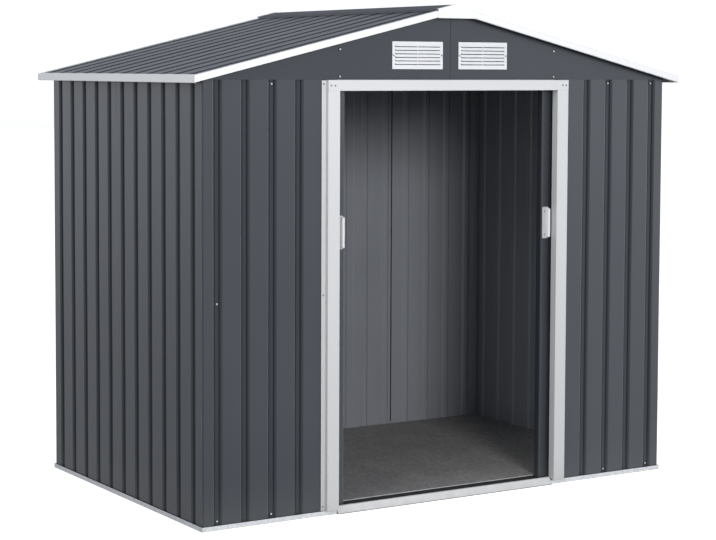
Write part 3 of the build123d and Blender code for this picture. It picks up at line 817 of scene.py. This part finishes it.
def turnedParts(name, profile, spots, finish, body, sides=12):
    # One joined mesh of round parts: a profile of (radius, height) turned about the axis at each spot.
    # Point = spot + height * axis + radius * (cos t * u + sin t * v), with one point at each pole.
    radius, height = profile[1:-1].T[:, :, None]
    t = np.linspace(0, math.tau, sides, endpoint=False)
    rings = np.stack((radius * np.cos(t), radius * np.sin(t), height + 0 * t), -1).reshape(-1, 3)
    shape = np.vstack(((0, 0, profile[0, 1]), rings, (0, 0, profile[-1, 1])))
    i = np.arange(sides)
    k = (i + 1) % sides
    pole = len(shape) - 1
    foot = np.column_stack((0 * i, k + 1, i + 1))
    crown = np.column_stack((0 * i + pole, pole - sides + i, pole - sides + k))
    walls = gridFaces(len(radius), sides)[:, ::-1] + 1
    points, faces = [], []
    for count, (spot, axis) in enumerate(spots):
        axis = unit(np.array(axis, float))
        u = unit(np.cross(axis, (0.3, 0.2, 1.0)))  # any direction that no axis has
        v = np.cross(axis, u)
        points.append(np.array(spot) + shape[:, :1] * u + shape[:, 1:2] * v + shape[:, 2:] * axis)
        for part in (walls, foot, crown):
            faces += (part + count * len(shape)).tolist()
    return meshPiece(name, np.vstack(points), faces, finish, body)


# Screws: a pan head, with a dark sealing washer under it where it holds a sheet. Plain ones are smaller.
screw = {"head": 0.0036, "rise": 0.0024, "washer": 0.0062, "washerRise": 0.0011, "plain": 0.9}


def headProfile(scale=1.0, lift=0.0):
    # Radius and height as shares of the whole head, from its foot to its crown.
    shape = np.array(((0, 0), (1, 0), (1, 0.45), (0.82, 0.82), (0.45, 1), (0, 1)))
    return shape * (screw["head"] * scale, screw["rise"] * scale) + (0, lift)


def washerProfile():
    shape = np.array(((0, 0), (1, 0), (1, 0.7), (0.9, 1), (0, 1)))
    return shape * (screw["washer"], screw["washerRise"])


def mirrored(spots):
    return spots + [((-x, y, z), (-a, b, c)) for (x, y, z), (a, b, c) in spots]


def washeredScrews(name, spots):
    head = headProfile(lift=screw["washerRise"])
    turnedParts(name + "Washers", washerProfile(), spots, "black_plastic", "shell")
    turnedParts(name + "Screws", head, spots, "screw", "shell")


def plainScrews(name, spots, body):
    turnedParts(name + "Screws", headProfile(screw["plain"]), spots, "frameScrew", body)


# Where the screws sit. The front and back sheets are held through the floors of their grooves; the first
# groove of the front has its upper screw at mid height.
fixing = {
    "foot": 0.030,
    "middle": 0.782,
    "top": 1.533,
    "backGrooves": 19,
    "gableX": 0.473,
    "gable": (1.558, 1.654),
    "jamb": (0.033, 0.788, 1.532),
    "headerX": (0.503, 0.520),
    "header": 1.5265,
    "ventInset": 0.005,
    "ventFlange": 0.002,  # its thickness, on the gable
}
wallX, wallY = -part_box("left_wall_front")[0][0], -wallFace
floorY = wallY - steel["ribDepth"]
cornerGroove, thirdGroove = (wallX - firstGroove["front"] - i * steel["frontPitch"] for i in (0, 2))
atFoot = (-cornerGroove, -thirdGroove, thirdGroove, cornerGroove)
wallSpots = [((x, -floorY, fixing["foot"]), -back) for x in atFoot]
wallSpots += [((x, -floorY, fixing["top"]), -back) for x in atFoot[1:]]
wallSpots.append(((-cornerGroove, -floorY, fixing["middle"]), -back))
for i in range(0, fixing["backGrooves"], 2):  # every second groove of the back wall
    x = -wallX + firstGroove["back"] + i * steel["frontPitch"]
    wallSpots += [((x, floorY, fixing["foot"]), back), ((x, floorY, fixing["top"]), back)]
washeredScrews("wall", wallSpots)

gableFace = wallY + steel["sheet"]
gableSpots = []
for way in (-1, 1):
    gableSpots += [((fixing["gableX"], way * gableFace, z), way * back) for z in fixing["gable"]]
washeredScrews("gable", mirrored(gableSpots))

# Door frame, vents and handles have plain screws.
flangeX = -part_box("door_jamb_left")[0][0] - jamb["flange"] / 2
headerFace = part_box("door_header")[0][1]
frameSpots = [((flangeX, -wallY - steel["fold"], z), -back) for z in fixing["jamb"]]
frameSpots += [((x, headerFace, fixing["header"]), -back) for x in fixing["headerX"]]
for way, end in ((-1, "front"), (1, "back")):
    low, high = boxOf(f"vent_{end}_right")
    flangeY, middleZ = way * (gableFace + fixing["ventFlange"]), (low[2] + high[2]) / 2
    for x in (low[0] + fixing["ventInset"], high[0] - fixing["ventInset"]):
        frameSpots.append(((x, flangeY, middleZ), way * back))
plainScrews("frame", mirrored(frameSpots), "shell")
for body, spots in handleScrews.items():
    plainScrews(body + "Handle", spots, body)
print("screws made")

# Painted shadow: dark lines where sheets lap, in the middle of each gable outside and along the laps
# inside.
seam = {
    "gable": (0.0034, 0.0007),  # width and height of the line
    "inside": (0.0055, 0.0014),
    "sunk": 0.0003,
    "underCap": 0.006,  # how far a gable's line runs up behind the end cap
    "aboveFoot": 0.035,
    "belowTop": 0.012,
    "shift": 0.178,  # the line in the back wall lies this far past the free edge
}


def seamShadowStrip(name, size, foot, along, face, rise):
    # Half an ellipse (cos t across, sin t outwards) carried up the sheet, sunk a little into it.
    t = np.linspace(0, math.pi, 7)
    bead = np.column_stack((np.cos(t) * size[0] / 2, np.sin(t) * size[1]))
    section = np.vstack((bead, bead[::-1] * (1, 0) - (0, seam["sunk"])))
    points, faces = foldedPoints(section, foot, (along, face, up), rise)
    # The black strip is a painted shadow line.
    return meshPiece(name, points, faces, "black_plastic", "shell")


for way, end in ((-1, "front"), (1, "back")):
    foot = (0, way * gableFace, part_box(f"{end}_gable_left")[0][2])
    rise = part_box(f"ridge_end_{end}")[0][2] - foot[2] + seam["underCap"]
    seamShadowStrip(f"{end}_gable_seam", seam["gable"], foot, right, way * back, rise)

# Inside: sheet, way it runs, way its inner face looks, and how far past its free edge the line shows.
laps = [
    ("back_wall_left", right, -back, 0.0),
    ("back_wall_middle", right, -back, seam["shift"]),
    ("left_wall_front", back, right, 0.0),
    ("right_wall_front", back, -right, 0.0),
]
for node, along, face, further in laps:
    low, high = boxOf(node)
    outer = np.where(face < 0, high, low)  # the corner of the box on the sheet's outer face
    foot = outer * np.abs(face) + (high + further) * along + face * 2 * steel["sheet"]
    foot[2] = low[2] + seam["aboveFoot"]
    seamShadowStrip(node + "_seam", seam["inside"], foot, along, face, high[2] - foot[2] - seam["belowTop"])
print("seams made")

# Camera at the photo's angle, turned to the right, tilted a little down, with the frame shifted down.
shot = {
    "place": (-4.0262, -6.4199, 1.5867),
    "turn": 32.097,
    "tilt": -3.903,
    "roll": 0.225,
    "lens": 96.92,
    "shift": -0.0978,
    "reach": 200,
}
turn, tilt, roll = (math.radians(shot[key]) for key in ("turn", "tilt", "roll"))
ahead = Vector((math.sin(turn) * math.cos(tilt), math.cos(turn) * math.cos(tilt), math.sin(tilt)))
level = Vector((math.cos(turn), -math.sin(turn), 0))
pictureRight = level * math.cos(roll) + level.cross(ahead) * math.sin(roll)
pictureUp = pictureRight.cross(ahead)
camera = bpy.data.objects.new("camera", bpy.data.cameras.new("camera"))
camera.matrix_world = Matrix((pictureRight, pictureUp, -ahead)).transposed().to_4x4()
camera.location = shot["place"]
camera.data.lens = shot["lens"]
camera.data.sensor_width = 36
camera.data.shift_y = shot["shift"]
camera.data.clip_end = shot["reach"]
bpy.context.scene.collection.objects.link(camera)
bpy.context.scene.camera = camera
print("camera set")

# White studio. Its wall is brightest at the right of the shed and dims towards the left and behind it; the
# ceiling is dim and bluish. Two lamps: a soft key a little left of the front, which reaches through the
# doorway, and a weaker one from the left.
studio = {
    "wall": (  # azimuth in degrees (0 straight in front, 90 on the left) and brightness there
        (-180, 0.9), (-162, 1.06), (-135, 1.06), (-112, 3.6), (-78, 3.6), (-58, 2.1),
        (-41, 1.85), (-27, 1.45), (-5, 0.9), (30, 0.8), (48, 1.1), (58, 1.0),
        (72, 0.86), (120, 0.80), (165, 0.80), (180, 0.9),
    ),
    "tint": (0.97, 1.0, 1.06),
    "ceiling": (0.36, 0.385, 0.44),
    "ceilingRise": (0.14, 0.40),  # the heights where it begins and is full
    "low": 0.50,  # how much the wall dims below eye level
    "lowFall": (-0.02, -0.13),
    "lamps": {
        "keyLight": {"azimuth": 14, "elevation": 14, "size": 2.2, "energy": 370.0},
        "sideLight": {"azimuth": 62, "elevation": 30, "size": 3.5, "energy": 155.0},
    },
    "lampDistance": 8.0,
    "lampAim": (0, 0, 0.9),
    "floor": 0.85,
    "floorGlow": 0.80,
    "floorReach": 40.0,
}
world = bpy.data.worlds.new("studio")
surround = Finish("studio", world)


def halved(tones):
    # Ramps hold half of each value, because they stop at 1; the background doubles them again.
    return colour(*(tone / 2 for tone in tones))


def grey(value):
    return colour(value, value, value)


def rampBetween(value, start, full):
    # 0 at start, 1 at full, straight between them.
    return surround.clamp((value - start) * (1.0 / (full - start)))


# The azimuth as a share of a full turn picks the brightness of the wall.
azimuth = surround.math("ARCTAN2", 0 - surround.along(0), 0 - surround.along(1)) * (1 / math.tau) + 0.5
stops = [((a + 180) / 360, halved([b * share for share in studio["tint"]])) for a, b in studio["wall"]]
glow = surround.node("ValToRGB", {"stops": stops}, {0: azimuth})
dimming = rampBetween(surround.height(), *studio["lowFall"])
glow = surround.mix(dimming * studio["low"], glow, grey(0))
overhead = rampBetween(surround.height(), *studio["ceilingRise"])
glow = surround.mix(overhead, glow, halved(studio["ceiling"]))
light = surround.node("Background", sockets={"Color": glow, "Strength": 2.0})
surround.node("OutputWorld", sockets={"Surface": light})
bpy.context.scene.world = world
bpy.context.scene.view_settings.view_transform = "Standard"


def areaLight(name, azimuth, elevation, size, energy):
    # Azimuth 0 is straight in front of the shed and 90 is its left side. The lamps leave no bright spots.
    lamp = bpy.data.lights.new(name, "AREA")
    lamp.shape = "DISK"
    lamp.size = size
    lamp.energy = energy
    a, e = math.radians(azimuth), math.radians(elevation)
    away = Vector((-math.sin(a) * math.cos(e), -math.cos(a) * math.cos(e), math.sin(e)))
    holder = bpy.data.objects.new(name, lamp)
    holder.location = Vector(studio["lampAim"]) + away * studio["lampDistance"]
    holder.rotation_mode = "QUATERNION"
    holder.rotation_quaternion = away.to_track_quat("Z", "Y")
    holder.visible_glossy = False
    bpy.context.scene.collection.objects.link(holder)


for name, settings in studio["lamps"].items():
    areaLight(name, **settings)

floorCorners = np.array(((-1, -1, 0), (1, -1, 0), (1, 1, 0), (-1, 1, 0))) * studio["floorReach"]
floorMesh = bpy.data.meshes.new("studioFloor")
floorMesh.from_pydata(floorCorners.tolist(), [], [(0, 1, 2, 3)])
floorMesh.materials.append(Finish("studioFloor").shader(
    Base_Color=grey(studio["floor"]), Roughness=0.9, Specular_IOR_Level=0.1,
    Emission_Color=grey(1.0), Emission_Strength=studio["floorGlow"],
))
studioFloor = bpy.data.objects.new("studioFloor", floorMesh)
bpy.context.scene.collection.objects.link(studioFloor)
# The floor takes no part in reflections and throws no light back, so that the glow stays below the shed.
studioFloor.visible_glossy = False
studioFloor.visible_diffuse = False
print("studio made")
